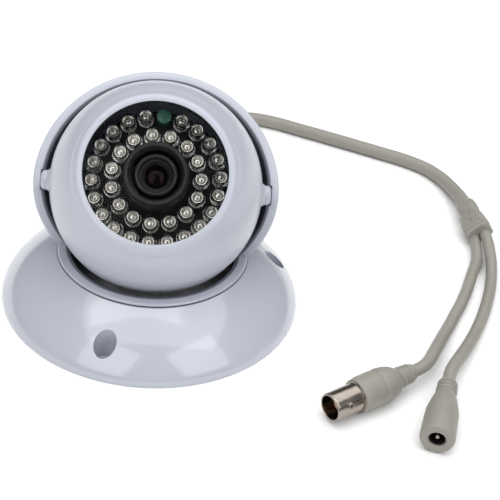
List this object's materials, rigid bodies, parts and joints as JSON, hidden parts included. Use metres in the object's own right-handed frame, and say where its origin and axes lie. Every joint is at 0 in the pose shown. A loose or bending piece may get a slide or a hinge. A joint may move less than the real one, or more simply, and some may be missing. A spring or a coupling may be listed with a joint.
{
  "type": "dome cctv camera",
  "caption": "Small turret dome camera: a ball with an infrared LED ring and lens tilts in a panning yoke on a flared base, with a cable ending in video and power sockets.",
  "frame": {"origin": "centre of the base's mounting face, on the pan axis", "axes": "+Z away from the mounting surface along the pan axis, front (the lens side at rest) towards -Y, +X to a viewer's right along the tilt axis"},
  "size_m": [0.1872, 0.2125, 0.0813],
  "materials": {
    "housing": "gloss",
    "black_plastic": "matte",
    "rubber": "matte",
    "clear_window": "polished",
    "circuit_board": "satin",
    "led_epoxy": "gloss",
    "photocell": "gloss",
    "lens_glass": "polished",
    "cable_jacket": "satin",
    "nickel": "polished",
    "insulator": "satin"
  },
  "bodies": {
    "base": {"base_cover": "housing", "retaining_ring": "black_plastic", "cable_grommet": "rubber", "main_cable": "cable_jacket", "cable_splitter": "cable_jacket", "video_lead": "cable_jacket", "power_lead": "cable_jacket", "bnc_boot": "cable_jacket", "bnc_barrel": "nickel", "bnc_insulator": "insulator", "power_socket_boot": "cable_jacket", "power_socket_pin": "nickel"},
    "yoke": {"yoke": "housing"},
    "ball": {"front_shell": "housing", "rear_shell": "housing", "front_window": "clear_window", "window_seal": "rubber", "led_board": "circuit_board", "photocell": "photocell", "lens_shroud": "black_plastic", "lens_holder": "black_plastic", "sensor_board": "circuit_board", "ir_led_01": "led_epoxy", "ir_led_02": "led_epoxy", "ir_led_03": "led_epoxy", "ir_led_04": "led_epoxy", "ir_led_05": "led_epoxy", "ir_led_06": "led_epoxy", "ir_led_07": "led_epoxy", "ir_led_08": "led_epoxy", "ir_led_09": "led_epoxy", "ir_led_10": "led_epoxy", "ir_led_11": "led_epoxy", "ir_led_12": "led_epoxy", "ir_led_13": "led_epoxy", "ir_led_14": "led_epoxy", "ir_led_15": "led_epoxy", "ir_led_16": "led_epoxy", "ir_led_17": "led_epoxy", "ir_led_18": "led_epoxy", "ir_led_19": "led_epoxy", "ir_led_20": "led_epoxy", "ir_led_21": "led_epoxy", "ir_led_22": "led_epoxy", "ir_led_23": "led_epoxy", "ir_led_24": "led_epoxy", "ir_led_25": "led_epoxy", "ir_led_26": "led_epoxy", "ir_led_27": "led_epoxy", "ir_led_28": "led_epoxy", "ir_led_29": "led_epoxy", "ir_led_30": "led_epoxy", "ir_led_31": "led_epoxy", "ir_led_32": "led_epoxy", "ir_led_33": "led_epoxy", "ir_led_34": "led_epoxy", "ir_led_35": "led_epoxy", "ir_led_36": "led_epoxy"},
    "lens": {"lens_barrel": "black_plastic", "lens_glass": "lens_glass"}
  },
  "joints": [
    {"name": "pan", "type": "hinge", "parent": "base", "child": "yoke", "pos_m": [0, 0, 0], "axis": [0, 0, 1], "range_deg": [-170, 170]},
    {"name": "tilt", "type": "hinge", "parent": "yoke", "child": "ball", "pos_m": [0, 0, 0.0444], "axis": [1, 0, 0], "range_deg": [-47.5, 42.5]},
    {"name": "focus", "type": "hinge", "parent": "ball", "child": "lens", "pos_m": [0, 0, 0.0444], "axis": [0, -0.7373, 0.6756], "range_deg": [-180, 180]}
  ]
}
